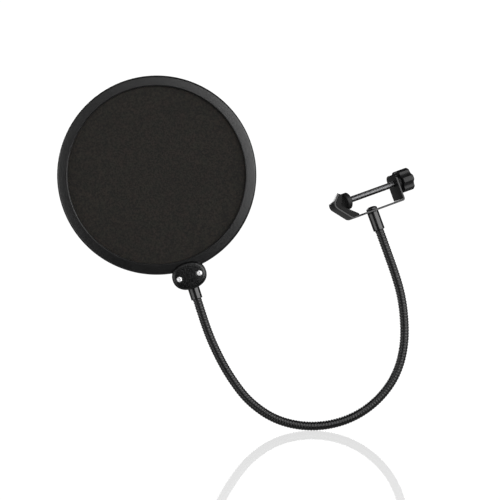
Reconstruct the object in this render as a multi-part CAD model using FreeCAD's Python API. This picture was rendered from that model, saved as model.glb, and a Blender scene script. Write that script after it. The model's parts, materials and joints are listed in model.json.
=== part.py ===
import FreeCAD, Part
import math
import os

# A microphone pop filter: a double screen in a round frame, on a gooseneck with a screw clamp.
# Millimetres. +Z up, +X right, +Y away from the user's side. The origin is where the clamp
# grips a microphone stand, on the axis of the clamp screw.

os.makedirs("parts", exist_ok=True)
V = FreeCAD.Vector
X = V(1, 0, 0)
Y = V(0, 1, 0)
Z = V(0, 0, 1)

# How the clamp stands: its screw climbs at TILT and it is swung by SWING about the gooseneck.
TILT = 20.0
SWING = 28.0

# Clamp bracket: a bent steel strip with a V jaw at one end and an upright leg at the other.
STRIP = 1.5
BRACKET_W = 15.5
JAW_W = 9.3
JAW_END_X = 8.4
WIDE_FROM_X = 17.0
WEB_Z = -14.0
VERTEX_X = -7.8
VERTEX_Z = 0.0
LOWER_ARM_DEG = 48.0
UPPER_ARM_DEG = 43.0
UPPER_ARM_L = 11.6
LEG_X = 52.45
LEG_TOP = 7.4
LEG_CORNER_R = 4.5
JAW_BEND_R_IN = 3.7
LEG_BEND_R_IN = 1.4
TIP_CORNER_R = 2.2
LINING_T = 2.5
LINING_END_T = 1.15
KNEE_X = -2.6
KNEE_Z = -1.8
LINING_W = 8.7
LINING_END_X = 11.7
COLLAR_R = 3.7
COLLAR_L = 1.3

# Clamp screw, its pad and its star knob.
SCREW_R = 2.4
SCREW_ROOT_R = 2.05
SCREW_PITCH = 0.8
SCREW_FIT = 0.05
PAD_R = 6.6
PAD_FRONT = 4.6
PAD_T = 4.0
PAD_HUB_R = 3.7
PAD_HUB_T = 1.4
KNOB_IN = 56.7
KNOB_OUT = 66.7
KNOB_R = 9.4
KNOB_HUB_R = 5.6
KNOB_HUB_IN = 54.7
KNOB_LOBES = 6

# Swivel: a screw through the web into the ferrule on the gooseneck's end.
SWIVEL_X = 25.9
SWIVEL_HEAD_R = 4.4
SWIVEL_HEAD_H = 2.8
SWIVEL_SHANK_R = 2.5
SWIVEL_FIT = 0.06
GAP = 0.03
CLAMP_FERRULE_R = 4.55
CLAMP_FERRULE_L = 15.0
CLAMP_SOCKET = 8.0

# Gooseneck: ribbed outer winding over a round-wire spring, in short lengths.
NECK_R = 3.5
NECK_ROOT_R = 3.15
NECK_BORE_R = 2.55
SPRING_IN_R = 1.75
RIB_PITCH = 2.2
BALL_R = 3.3
SOCKET_R = 3.36
LIP = 1.15
NECK_Y = 12.16
NECK_START = (31.66, -20.14)
NECK_HEADING = -70.0
LENGTHS = [28.0, 24.0, 22.3, 22.3, 22.3, 22.3, 22.3, 22.3, 22.3, 22.3, 24.3, 27.2, 30.0, 30.0]
TURNS = [0.0, 2.5, 10.0, 9.5, 15.5, 19.5, 17.5, 18.0, 17.0, 17.5, 20.0, 17.5, 9.5, 8.0]

# Head: two rim shells, two screens on hoops, and a split housing that takes the gooseneck.
HEAD_TURN = 18.0
RIM_R = 77.5
RIM_IN_R = 69.2
RIM_HALF = 7.0
RIM_FACE = 2.2
RIM_WALL = 2.1
MESH_T = 0.3
MESH_R = 74.9
HOOP_IN_R = 70.6
HOUSING_D = 81.5
HOUSING_TAN = 26.0
HOUSING_RAD = 20.4
HOUSING_HALF = 10.2
HOUSING_SQUARE = 2.2
SCREW_D = 82.7
SCREW_TAN = 8.15
HEAD_FERRULE_R = 4.5
HEAD_FERRULE_END = 101.3
HEAD_FERRULE_IN = 81.6
HEAD_SOCKET = 12.0

clamp_place = FreeCAD.Placement(
    V(0, 0, 0),
    FreeCAD.Rotation(Y, -TILT).multiply(FreeCAD.Rotation(Z, SWING)),
)


def save(name, shape, place=None):
    out = shape.copy()
    if place is not None:
        out.Placement = place.multiply(out.Placement)
    out.exportStep("parts/%s.step" % name)
    print(name, "valid", out.isValid(), "solids", len(out.Solids), "volume %.1f" % out.Volume)
    return out


def cylinder(r, length, at, axis):
    return Part.makeCylinder(r, length, at, axis)


def revolved(points):
    """Turns a closed (radius, height) outline about the local Z axis."""
    wire = Part.makePolygon([V(r, 0, z) for r, z in points] + [V(points[0][0], 0, points[0][1])])
    face = Part.Face(wire)
    return face.revolve(V(0, 0, 0), Z, 360)


def along(shape, at, direction):
    """Moves a shape built on +Z so that +Z points along direction and its origin is at `at`."""
    out = shape.copy()
    out.Placement = FreeCAD.Placement(at, FreeCAD.Rotation(Z, direction)).multiply(out.Placement)
    return out


def straight_edges(shape, test):
    return [e for e in shape.Edges if test(e)]


def offset_line(points, d):
    """The (x, z) line moved sideways by d to its left, with mitred corners."""
    out = []
    n = len(points)
    for i in range(n):
        dirs = []
        if i > 0:
            dirs.append((points[i][0] - points[i - 1][0], points[i][1] - points[i - 1][1]))
        if i < n - 1:
            dirs.append((points[i + 1][0] - points[i][0], points[i + 1][1] - points[i][1]))
        dirs = [(a / math.hypot(a, b), b / math.hypot(a, b)) for a, b in dirs]
        normals = [(-b, a) for a, b in dirs]
        mx = sum(a for a, b in normals) / len(normals)
        mz = sum(b for a, b in normals) / len(normals)
        k = d / (mx * mx + mz * mz)
        out.append((points[i][0] + mx * k, points[i][1] + mz * k))
    return out


def strip_solid(points, near, far, width):
    """A strip of constant width between two sideways offsets of a line."""
    a = offset_line(points, near)
    b = offset_line(points, far)
    loop = a + b[::-1]
    wire = Part.makePolygon([V(x, -width / 2, z) for x, z in loop] + [V(loop[0][0], -width / 2, loop[0][1])])
    return Part.Face(wire).extrude(V(0, width, 0))


# ---------------------------------------------------------------- clamp bracket and its lining
lower = math.radians(LOWER_ARM_DEG)
upper = math.radians(UPPER_ARM_DEG)
web_start_x = VERTEX_X + (VERTEX_Z - WEB_Z) / math.tan(lower)
tip = (VERTEX_X + UPPER_ARM_L * math.cos(upper), VERTEX_Z + UPPER_ARM_L * math.sin(upper))
bracket_line = [
    tip,
    (VERTEX_X, VERTEX_Z),
    (web_start_x, WEB_Z),
    (LEG_X, WEB_Z),
    (LEG_X, LEG_TOP),
]
bracket = strip_solid(bracket_line, -STRIP / 2, STRIP / 2, BRACKET_W)
inner = offset_line(bracket_line, STRIP / 2)
outer = offset_line(bracket_line, -STRIP / 2)


def at_corner(edge, x, z):
    a, b = edge.Vertexes[0].Point, edge.Vertexes[-1].Point
    near = all(math.hypot(p.x - x, p.z - z) < 0.05 for p in (a, b))
    return near and abs(a.y - b.y) > BRACKET_W - 1


for i, bend in ((1, JAW_BEND_R_IN), (2, JAW_BEND_R_IN), (3, LEG_BEND_R_IN)):
    edges = straight_edges(bracket, lambda e: at_corner(e, inner[i][0], inner[i][1]))
    bracket = bracket.makeFillet(bend, edges)
    edges = straight_edges(bracket, lambda e: at_corner(e, outer[i][0], outer[i][1]))
    bracket = bracket.makeFillet(bend + STRIP, edges)

# the strip is narrower at the jaw and widens along the web
plan = []
for side in (-1, 1):
    row = [
        V(VERTEX_X - 10, side * JAW_W / 2, -30),
        V(JAW_END_X, side * JAW_W / 2, -30),
        V(WIDE_FROM_X, side * BRACKET_W / 2, -30),
        V(LEG_X + 10, side * BRACKET_W / 2, -30),
    ]
    plan += row[::side]
bracket = bracket.common(Part.Face(Part.makePolygon(plan + [plan[0]])).extrude(V(0, 0, 60)))


def end_corner(edge, x, z, width):
    a, b = edge.Vertexes[0].Point, edge.Vertexes[-1].Point
    mid = (a + b) * 0.5
    near = math.hypot(mid.x - x, mid.z - z) < 0.2
    return near and abs(abs(a.y) - width / 2) < 0.01 and abs(a.y - b.y) < 0.01 and edge.Length < STRIP + 0.1


edges = straight_edges(bracket, lambda e: end_corner(e, LEG_X, LEG_TOP, BRACKET_W))
bracket = bracket.makeFillet(LEG_CORNER_R, edges)
edges = straight_edges(bracket, lambda e: end_corner(e, tip[0], tip[1], JAW_W))
bracket = bracket.makeFillet(TIP_CORNER_R, edges)
# the threaded hole in the leg has a drawn collar on the knob's side
leg_out = LEG_X + STRIP / 2
bracket = bracket.fuse(cylinder(COLLAR_R, COLLAR_L + 0.5, V(leg_out - 0.5, 0, 0), X))
bracket = bracket.cut(cylinder(SCREW_R + SCREW_FIT, 12, V(LEG_X - 5, 0, 0), X))
bracket = bracket.cut(cylinder(SWIVEL_SHANK_R + SWIVEL_FIT, 6, V(SWIVEL_X, 0, WEB_Z - 3), Z))
bracket = bracket.removeSplitter()
save("clamp_bracket", bracket, clamp_place)

lining_line = [tip, (VERTEX_X, VERTEX_Z), (web_start_x, WEB_Z), (LINING_END_X, WEB_Z)]
tip_in = offset_line(lining_line, STRIP / 2 + LINING_T)[0]
lining_inside = [tip_in, (KNEE_X, KNEE_Z), (LINING_END_X, WEB_Z + STRIP / 2 + LINING_END_T)]
loop = offset_line(lining_line, STRIP / 2) + lining_inside[::-1]
loop = [V(x, -LINING_W / 2, z) for x, z in loop]
lining = Part.Face(Part.makePolygon(loop + [loop[0]])).extrude(V(0, LINING_W, 0))
for (x, z), radius in zip(lining_inside, (0.9, 1.5, 0.6)):
    def across(e, x=x, z=z):
        a, b = e.Vertexes[0].Point, e.Vertexes[-1].Point
        near = all(math.hypot(p.x - x, p.z - z) < 0.05 for p in (a, b))
        return near and abs(a.y - b.y) > LINING_W - 1

    lining = lining.makeFillet(radius, straight_edges(lining, across))
lining = lining.cut(bracket)
save("jaw_lining", lining, clamp_place)

# ---------------------------------------------------------------- clamp screw, pad, knob
groove_in = PAD_FRONT + 1.3
neck_in = groove_in + 1.2
hub_end = PAD_FRONT + PAD_T + PAD_HUB_T
screw_profile = [
    (0, groove_in),
    (1.7, groove_in),
    (2.0, groove_in + 0.3),
    (2.0, neck_in),
    (1.5, neck_in + 0.2),
    (1.5, hub_end - 0.6),
    (SCREW_ROOT_R, hub_end + 0.1),
    (SCREW_ROOT_R, hub_end + 0.5),
]
z0 = hub_end + 0.5
turns = int((KNOB_HUB_IN - 1.2 - z0) / SCREW_PITCH)
for k in range(turns):
    a = z0 + k * SCREW_PITCH
    screw_profile += [
        (SCREW_R, a + SCREW_PITCH * 0.45),
        (SCREW_R, a + SCREW_PITCH * 0.55),
        (SCREW_ROOT_R, a + SCREW_PITCH),
    ]
screw_profile += [(SCREW_R, KNOB_HUB_IN - 0.6), (SCREW_R, KNOB_OUT - 2.5), (0, KNOB_OUT - 2.5)]
screw = along(revolved(screw_profile), V(0, 0, 0), X)
save("clamp_screw", screw, clamp_place)

pad_profile = [
    (0, PAD_FRONT),
    (PAD_R - 0.4, PAD_FRONT),
    (PAD_R, PAD_FRONT + 0.4),
    (PAD_R, PAD_FRONT + PAD_T - 0.6),
    (PAD_R - 0.6, PAD_FRONT + PAD_T),
    (PAD_HUB_R + 0.3, PAD_FRONT + PAD_T),
    (PAD_HUB_R, PAD_FRONT + PAD_T + 0.3),
    (PAD_HUB_R, hub_end - 0.3),
    (PAD_HUB_R - 0.3, hub_end),
    (1.57, hub_end),
    (1.57, neck_in + 0.25),
    (2.06, neck_in + 0.25),
    (2.06, groove_in - 0.05),
    (0, groove_in - 0.05),
]
pad = along(revolved(pad_profile), V(0, 0, 0), X)
# the crimped lip behind the screw's ball end leaves the neck free to turn
pad = pad.cut(cylinder(SCREW_ROOT_R + 0.06, 2.0, V(hub_end - 0.75, 0, 0), X))
save("pressure_pad", pad, clamp_place)

knob = cylinder(KNOB_R, KNOB_OUT - KNOB_IN, V(KNOB_IN, 0, 0), X)
for k in range(KNOB_LOBES):
    a = math.radians(360.0 / KNOB_LOBES * k)
    d = KNOB_R + 2.6
    c = V(KNOB_IN - 1, d * math.sin(a), d * math.cos(a))
    knob = knob.cut(cylinder(4.0, KNOB_OUT - KNOB_IN + 2, c, X))
lobe_edges = [e for e in knob.Edges if abs(abs(e.CenterOfMass.x) - (KNOB_IN + KNOB_OUT) / 2) < 0.5]
knob = knob.makeFillet(0.9, lobe_edges)
end_edges = [e for e in knob.Edges if e.BoundBox.XLength < 0.01 and e.CenterOfMass.x > KNOB_OUT - 0.1]
knob = knob.makeFillet(0.8, end_edges)
in_edges = [e for e in knob.Edges if e.BoundBox.XLength < 0.01 and e.CenterOfMass.x < KNOB_IN + 0.1]
knob = knob.makeFillet(0.5, in_edges)
knob = knob.fuse(cylinder(KNOB_HUB_R, KNOB_IN - KNOB_HUB_IN + 1, V(KNOB_HUB_IN, 0, 0), X))
knob = knob.cut(cylinder(SCREW_R, KNOB_OUT - 2.5 - KNOB_HUB_IN + 2, V(KNOB_HUB_IN - 2, 0, 0), X))
dish = Part.makeCone(5.0, 5.6, 0.9, V(KNOB_OUT - 0.9, 0, 0), X)
knob = knob.cut(dish)
knob = knob.removeSplitter()
save("knob", knob, clamp_place)

# ---------------------------------------------------------------- swivel screw and clamp ferrule
web_top = WEB_Z + STRIP / 2
web_low = WEB_Z - STRIP / 2
shank_low = web_low - 6.0
swivel_profile = [
    (0, shank_low),
    (SWIVEL_SHANK_R - 0.5, shank_low),
    (SWIVEL_SHANK_R, shank_low + 0.5),
    (SWIVEL_SHANK_R, web_top + GAP),
    (SWIVEL_HEAD_R, web_top + GAP),
    (SWIVEL_HEAD_R, web_top + 1.5),
    (SWIVEL_HEAD_R - 0.3, web_top + 2.0),
    (SWIVEL_HEAD_R - 1.1, web_top + 2.5),
    (SWIVEL_HEAD_R - 2.2, web_top + SWIVEL_HEAD_H),
    (0, web_top + SWIVEL_HEAD_H),
]
swivel = revolved(swivel_profile)


def cross(width, span, depth, top, at):
    """A crosshead recess: two tapering slots that cross."""
    shape = None
    for a in (0, 90):
        slot = Part.makeWedge(
            -span / 2, -depth, -width / 2, -width / 4, -span / 4, span / 2, 0.02, width / 2, width / 4, span / 4
        )
        slot.rotate(V(0, 0, 0), X, 90)
        slot.rotate(V(0, 0, 0), Z, a)
        shape = slot if shape is None else shape.fuse(slot)
    shape.translate(V(at[0], at[1], top))
    return shape


swivel = swivel.cut(cross(0.9, 4.2, 1.7, web_top + SWIVEL_HEAD_H, (0, 0)))
swivel.translate(V(SWIVEL_X, 0, 0))
save("swivel_screw", swivel, clamp_place)

ferrule_top = web_low - GAP
ferrule_end = ferrule_top - CLAMP_FERRULE_L
ferrule_profile = [
    (SWIVEL_SHANK_R, ferrule_top),
    (CLAMP_FERRULE_R - 0.25, ferrule_top),
    (CLAMP_FERRULE_R, ferrule_top - 0.25),
    (CLAMP_FERRULE_R, ferrule_end + 0.5),
    (CLAMP_FERRULE_R - 0.5, ferrule_end),
    (NECK_R, ferrule_end),
    (NECK_R, ferrule_end + CLAMP_SOCKET),
    (SWIVEL_SHANK_R, ferrule_end + CLAMP_SOCKET),
]
clamp_ferrule = revolved(ferrule_profile)
clamp_ferrule.translate(V(SWIVEL_X, 0, 0))
save("clamp_ferrule", clamp_ferrule, clamp_place)


# ---------------------------------------------------------------- gooseneck
def winding(length, start, end):
    """A length of the outer winding. start and end: 'joint' or the depth held in a ferrule."""
    low = LIP if start == "joint" else -start
    high = length - LIP if end == "joint" else length + end
    ribs = int(round((high - low) / RIB_PITCH))
    pitch = (high - low) / ribs
    outline = []
    for k in range(ribs):
        a = low + k * pitch
        outline += [
            (NECK_ROOT_R, a),
            (NECK_R, a + 0.28 * pitch),
            (NECK_R, a + 0.72 * pitch),
        ]
    outline.append((NECK_ROOT_R, high))
    outline += [(NECK_BORE_R, high), (NECK_BORE_R, low)]
    body = revolved(outline)
    if start == "joint":
        ball = Part.makeSphere(BALL_R, V(0, 0, 0))
        ball = ball.common(cylinder(BALL_R + 1, LIP + 0.6 + 1.9, V(0, 0, -1.9), Z))
        body = body.fuse(ball)
        body = body.cut(cylinder(NECK_BORE_R, length * 0.5, V(0, 0, -3), Z))
    if end == "joint":
        body = body.cut(Part.makeSphere(SOCKET_R, V(0, 0, length)))
    return body


def spring(length, start, end):
    """A length of the round-wire spring inside the winding."""
    low = 3.2 if start == "joint" else -start
    high = length - 3.6 if end == "joint" else length + end
    coils = int(round((high - low) / 1.6))
    pitch = (high - low) / coils
    outline = []
    for k in range(coils):
        a = low + k * pitch
        outline += [(NECK_BORE_R - 0.2, a), (NECK_BORE_R, a + 0.5 * pitch)]
    outline.append((NECK_BORE_R - 0.2, high))
    for k in range(coils):
        a = high - k * pitch
        outline += [(SPRING_IN_R + 0.2, a), (SPRING_IN_R, a - 0.5 * pitch)]
    outline.append((SPRING_IN_R + 0.2, low))
    return revolved(outline)


heading = NECK_HEADING
here = V(NECK_START[0], NECK_Y, NECK_START[1])
count = len(LENGTHS)
for i in range(count):
    heading -= TURNS[i]
    run = V(math.cos(math.radians(heading)), 0, math.sin(math.radians(heading)))
    first = CLAMP_SOCKET if i == 0 else "joint"
    last = HEAD_SOCKET if i == count - 1 else "joint"
    print("link %d pivot (%.3f, %.3f, %.3f) heading %.1f" % (i + 1, here.x, here.y, here.z, heading))
    save("neck_winding_%02d" % (i + 1), along(winding(LENGTHS[i], first, last), here, run))
    save("neck_spring_%02d" % (i + 1), along(spring(LENGTHS[i], first, last), here, run))
    here = here + run * LENGTHS[i]
print("neck end (%.3f, %.3f, %.3f)" % (here.x, here.y, here.z))
head_place = FreeCAD.Placement(here + run * HEAD_FERRULE_END, FreeCAD.Rotation(Y, -HEAD_TURN))
print("head centre", head_place.Base)


# ---------------------------------------------------------------- head, built with the gooseneck below
def turned(points):
    """Turns a closed (radius, depth) outline about the head's axis; depth is along +Y."""
    wire = Part.makePolygon([V(r, y, 0) for r, y in points] + [V(points[0][0], points[0][1], 0)])
    return Part.Face(wire).revolve(V(0, 0, 0), Y, 360)


def mirrored(shape):
    return shape.mirror(V(0, 0, 0), Y)


b = RIM_HALF
rim = turned(
    [
        (RIM_IN_R, -b + 1.5),
        (RIM_IN_R + 0.3, -b + 0.75),
        (RIM_IN_R + 1.0, -b + 0.3),
        (RIM_IN_R + 2.4, -b + 0.05),
        (RIM_IN_R + 3.9, -b),
        (RIM_R - 3.2, -b + 0.15),
        (RIM_R - 2.0, -b + 0.6),
        (RIM_R - 0.9, -b + 1.5),
        (RIM_R - 0.25, -b + 2.8),
        (RIM_R, -b + 4.2),
        (RIM_R, -0.15),
        (RIM_R - 0.15, 0),
        (RIM_R - RIM_WALL, 0),
        (RIM_R - RIM_WALL, -b + RIM_FACE),
        (RIM_IN_R, -b + RIM_FACE),
    ]
)
save("front_rim", rim, head_place)
save("rear_rim", mirrored(rim), head_place)

screen = cylinder(MESH_R, MESH_T, V(0, -b + RIM_FACE, 0), Y)
save("front_screen", screen, head_place)
save("rear_screen", mirrored(screen), head_place)

h = -b + RIM_FACE + MESH_T
hoop = turned(
    [
        (HOOP_IN_R, h),
        (RIM_R - RIM_WALL - 0.05, h),
        (RIM_R - RIM_WALL - 0.05, 0),
        (HOOP_IN_R + 1.6, 0),
        (HOOP_IN_R, h + 1.6),
    ]
)
save("front_hoop", hoop, head_place)
save("rear_hoop", mirrored(hoop), head_place)

# housing: an oval shell in two halves that grips the rim's edge and the ferrule
tan = HOUSING_TAN / 2
rad = HOUSING_RAD / 2


def oval(grow, y0, y1):
    """An oval prism across the neck, a little squarer than an ellipse."""
    a = tan + grow
    r = rad + grow
    steps = 40
    vs = []
    for k in range(steps):
        t = 2 * math.pi * k / steps
        c, s = math.cos(t), math.sin(t)
        x = a * math.copysign(abs(c) ** (2 / HOUSING_SQUARE), c)
        z = r * math.copysign(abs(s) ** (2 / HOUSING_SQUARE), s)
        vs.append(V(x, y0, z - HOUSING_D))
    curve = Part.BSplineCurve()
    curve.interpolate(Points=vs, PeriodicFlag=True)
    return Part.Face(Part.Wire([curve.toShape()])).extrude(V(0, y1 - y0, 0))


shell = oval(0.0, -HOUSING_HALF, 0.0)
front_edges = [e for e in shell.Edges if e.CenterOfMass.y < -HOUSING_HALF + 0.01]
shell = shell.makeFillet(2.4, front_edges)
gap = 0.05
rim_room = turned(
    [
        (RIM_IN_R - 6, -b - gap),
        (RIM_IN_R + 3.9, -b - gap),
        (RIM_R - 3.2 + gap, -b + 0.15 - gap),
        (RIM_R - 2.0 + gap, -b + 0.6 - gap),
        (RIM_R - 0.9 + gap, -b + 1.5 - gap),
        (RIM_R - 0.25 + gap, -b + 2.8 - gap),
        (RIM_R + gap, -b + 4.2 - gap),
        (RIM_R + gap, 0.5),
        (RIM_IN_R - 6, 0.5),
    ]
)
shell = shell.cut(rim_room)
front_shell = shell
rear_shell = mirrored(shell)
# room for the ferrule: a bore with a groove for its collar
bore = cylinder(HEAD_FERRULE_R + 0.02, 14, V(0, 0, -HOUSING_D - rad - 2), Z)
groove = cylinder(HEAD_FERRULE_R + 1.2, 2.1, V(0, 0, -HEAD_FERRULE_IN - 3.3), Z)
front_shell = front_shell.cut(bore).cut(groove)
rear_shell = rear_shell.cut(bore).cut(groove)
for side in (-1, 1):
    x = side * SCREW_TAN
    front_shell = front_shell.cut(cylinder(2.75, 2.3, V(x, -HOUSING_HALF - 0.3, -SCREW_D), Y))
    front_shell = front_shell.cut(cylinder(1.5, 20, V(x, -HOUSING_HALF, -SCREW_D), Y))
    rear_shell = rear_shell.cut(cylinder(1.3, 7.5, V(x, -0.1, -SCREW_D), Y))
save("housing_front", front_shell, head_place)
save("housing_rear", rear_shell, head_place)

screws = []
seat = -HOUSING_HALF + 2.0
for side in (-1, 1):
    profile = [
        (0, -7.0),
        (0.6, -7.0),
        (1.3, -6.0),
        (1.3, -seat + 0.02),
        (2.35, -seat + 0.02),
        (2.35, -seat + 0.9),
        (2.0, -seat + 1.4),
        (1.2, -seat + 1.7),
        (0, -seat + 1.8),
    ]
    s = revolved(profile)
    s = s.cut(cross(0.55, 2.9, 1.2, -seat + 1.8, (0, 0)))
    s = s.copy()
    s.rotate(V(0, 0, 0), Z, 25 + 20 * side)
    s = along(s, V(side * SCREW_TAN, 0, -SCREW_D), V(0, -1, 0))
    screws.append(s)
save("housing_screws", Part.Compound(screws), head_place)

hf = HEAD_FERRULE_R
end = -HEAD_FERRULE_END
inn = -HEAD_FERRULE_IN
ferrule = revolved(
    [
        (NECK_R, end),
        (hf - 0.45, end),
        (hf, end + 0.45),
        (hf, inn - 3.25),
        (hf + 1.15, inn - 3.25),
        (hf + 1.15, inn - 1.25),
        (hf, inn - 1.25),
        (hf, inn),
        (1.2, inn),
        (1.2, end + HEAD_SOCKET),
        (NECK_R, end + HEAD_SOCKET),
    ]
)
save("head_ferrule", ferrule, head_place)
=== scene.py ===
import json
import math

import bmesh
import bpy
import numpy as np
from mathutils import Matrix, Vector

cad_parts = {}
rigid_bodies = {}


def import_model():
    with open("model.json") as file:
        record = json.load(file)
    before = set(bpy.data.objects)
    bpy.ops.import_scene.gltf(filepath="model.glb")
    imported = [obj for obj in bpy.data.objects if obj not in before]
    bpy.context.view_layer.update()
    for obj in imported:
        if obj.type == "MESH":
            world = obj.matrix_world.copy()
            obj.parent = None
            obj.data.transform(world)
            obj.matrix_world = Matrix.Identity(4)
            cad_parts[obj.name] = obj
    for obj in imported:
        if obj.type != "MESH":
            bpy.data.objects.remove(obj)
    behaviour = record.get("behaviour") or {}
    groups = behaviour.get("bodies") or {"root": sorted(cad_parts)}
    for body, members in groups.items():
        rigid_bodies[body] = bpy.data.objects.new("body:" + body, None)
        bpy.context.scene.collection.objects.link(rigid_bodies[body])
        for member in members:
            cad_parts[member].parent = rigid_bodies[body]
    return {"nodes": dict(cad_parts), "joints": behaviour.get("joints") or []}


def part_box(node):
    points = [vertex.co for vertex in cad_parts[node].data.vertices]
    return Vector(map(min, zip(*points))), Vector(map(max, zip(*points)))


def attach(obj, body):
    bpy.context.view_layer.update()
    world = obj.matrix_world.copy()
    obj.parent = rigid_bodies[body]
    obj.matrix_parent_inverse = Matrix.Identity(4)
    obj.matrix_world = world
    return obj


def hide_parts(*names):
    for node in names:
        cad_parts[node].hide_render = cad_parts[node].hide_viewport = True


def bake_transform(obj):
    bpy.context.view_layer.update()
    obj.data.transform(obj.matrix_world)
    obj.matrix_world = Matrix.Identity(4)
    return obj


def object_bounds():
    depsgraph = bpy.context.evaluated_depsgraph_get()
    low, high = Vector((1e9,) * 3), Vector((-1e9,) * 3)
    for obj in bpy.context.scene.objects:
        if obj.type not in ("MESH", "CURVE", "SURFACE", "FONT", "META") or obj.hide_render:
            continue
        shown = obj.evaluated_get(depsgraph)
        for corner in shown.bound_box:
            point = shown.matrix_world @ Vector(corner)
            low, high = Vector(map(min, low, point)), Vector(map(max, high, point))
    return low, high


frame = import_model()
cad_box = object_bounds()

# A pop filter: a double woven screen in a round rim, on a ribbed gooseneck with a V-jaw clamp.
# Lengths are in metres; MM turns millimetres into metres.
MM = 0.001
joints = {j["name"]: j for j in frame["joints"]}
nodes = frame["nodes"]

# ---------------------------------------------------------------- local frames, from the frame's joints
# Clamp: X along the screw away from the grip, Z from the web towards the screw, origin on the screw.
clamp_x = Vector(joints["screw_turn"]["axis"]).normalized()
clamp_z = Vector(joints["clamp_swivel"]["axis"]).normalized()
clamp_y = clamp_z.cross(clamp_x).normalized()
CLAMP = Matrix((clamp_x, clamp_y, clamp_z)).transposed().to_4x4()

# Head: Z from the gooseneck to the middle of the screen, Y along the screen's axis.
low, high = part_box("front_screen")
low2, high2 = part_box("rear_screen")
head_centre = (low + high + low2 + high2) / 4
last_pivot = Vector(joints["head_end_side_2"]["pos_m"])
head_z = head_centre - last_pivot
head_z.y = 0.0
head_z.normalize()
head_y = Vector((0.0, 1.0, 0.0))
head_x = head_y.cross(head_z).normalized()
HEAD = Matrix.Translation(head_centre) @ Matrix((head_x, head_y, head_z)).transposed().to_4x4()

# Turns a lathe's own Z axis to the local X axis or Y axis of the frames above.
ON_X = Matrix(((0, 0, 1, 0), (1, 0, 0, 0), (0, 1, 0, 0), (0, 0, 0, 1)))
ON_Y = Matrix(((0, 1, 0, 0), (0, 0, 1, 0), (1, 0, 0, 0), (0, 0, 0, 1)))

# ---------------------------------------------------------------- sizes in mm
# They follow the CAD, but for the knee of the lining, the leg's bend and the housing's oval,
# which were fitted a little closer to the real object here.
# Clamp: strip, jaw, lining, screw, pad and knob, in the clamp's frame.
STRIP = 1.5
BRACKET_W = 15.5
JAW_W = 9.3
JAW_END_X = 8.4
WIDE_FROM_X = 17.0
WEB_Z = -14.0
VERTEX = (-7.8, 0.0)
LOWER_ARM = math.radians(48.0)
UPPER_ARM = math.radians(43.0)
UPPER_ARM_L = 11.6
LEG_X = 52.45
LEG_TOP = 7.4
LEG_CORNER_R = 4.5
TIP_CORNER_R = 2.2
JAW_BEND_R_IN = 3.7
LEG_BEND_R_IN = 0.6
LINING_T = 2.5
LINING_END_T = 1.15
KNEE = (-1.1, -1.9)
LINING_W = 8.7
LINING_END_X = 11.7
SCREW_R = 2.4
SCREW_ROOT_R = 2.05
SCREW_PITCH = 0.8
PAD_FRONT = 4.6
PAD_R = 6.6
PAD_BACK = 8.6
HUB_END = 10.0
KNOB_IN = 56.7
KNOB_OUT = 66.7
KNOB_R = 9.4
KNOB_HUB_IN = 54.7
KNOB_HUB_R = 5.6
SWIVEL_X = 25.9
SWIVEL_HEAD_R = 4.4
CLAMP_FERRULE_R = 4.55
CLAMP_FERRULE_L = 15.0
# Gooseneck.
NECK_R = 3.5
NECK_LOW_R = 3.12
NECK_BORE_R = 2.6
RIB_PITCH = 2.2
# Head: rims, screens, housing, its screws and the ferrule, in the head's frame.
RIM_R = 77.5
RIM_IN_R = 69.2
RIM_HALF = 7.0
RIM_FACE = 2.2
RIM_WALL = 2.1
MESH_T = 0.3
MESH_R = 74.9
HOUSING_D = 82.0
HOUSING_TAN = 27.0
HOUSING_RAD = 21.6
HOUSING_SQUARE = 2.2
HOUSING_HALF = 10.2
SCREW_D = 82.7
SCREW_TAN = 8.15
SCREW_HEAD_R = 2.2
HEAD_FERRULE_R = 4.5
HEAD_FERRULE_TOP = 81.6
HEAD_FERRULE_END = 101.3
FERRULE_BORE_R = 3.52


# ---------------------------------------------------------------- mesh helpers
def new_piece(name, verts, faces, matrix, smooth_angle=35.0):
    """An object at the origin, with its vertices, given in mm, placed by a matrix."""
    mesh = bpy.data.meshes.new(name)
    m = np.array(matrix)
    co = np.asarray(verts, float) * MM
    co = co @ m[:3, :3].T + m[:3, 3]
    mesh.from_pydata(co.tolist(), [], faces)
    mesh.validate()
    obj = bpy.data.objects.new(name, mesh)
    bpy.context.scene.collection.objects.link(obj)
    finish_mesh(obj, smooth_angle)
    return obj


def finish_mesh(obj, smooth_angle=35.0):
    mesh = obj.data
    for polygon in mesh.polygons:
        polygon.use_smooth = True
    mesh.set_sharp_from_angle(angle=math.radians(smooth_angle))
    mesh.update()


def fillet(points, radius, steps=5, closed=True):
    """Rounds the corners of an outline. radius is one number, or one for each corner."""
    n = len(points)
    out = []
    for i in range(n):
        p = np.array(points[i], float)
        r = radius[i] if hasattr(radius, "__len__") else radius
        if r <= 0 or (not closed and i in (0, n - 1)):
            out.append(tuple(p))
            continue
        a = np.array(points[i - 1], float) - p
        b = np.array(points[(i + 1) % n], float) - p
        la, lb = np.linalg.norm(a), np.linalg.norm(b)
        a, b = a / la, b / lb
        cos_full = float(np.clip(a @ b, -1, 1))
        half = math.acos(cos_full) / 2
        if half > math.radians(88.5):
            out.append(tuple(p))
            continue
        reach = min(r / math.tan(half), la * 0.49, lb * 0.49)
        r = reach * math.tan(half)
        mid = (a + b) / np.linalg.norm(a + b)
        centre = p + mid * r / math.sin(half)
        start = p + a * reach - centre
        end = p + b * reach - centre
        turn = math.pi - 2 * half
        side = 1.0 if start[0] * end[1] - start[1] * end[0] > 0 else -1.0
        for k in range(steps + 1):
            t = side * turn * k / steps
            c, s = math.cos(t), math.sin(t)
            q = centre + np.array([start[0] * c - start[1] * s, start[0] * s + start[1] * c])
            out.append((float(q[0]), float(q[1])))
    return out


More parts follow.
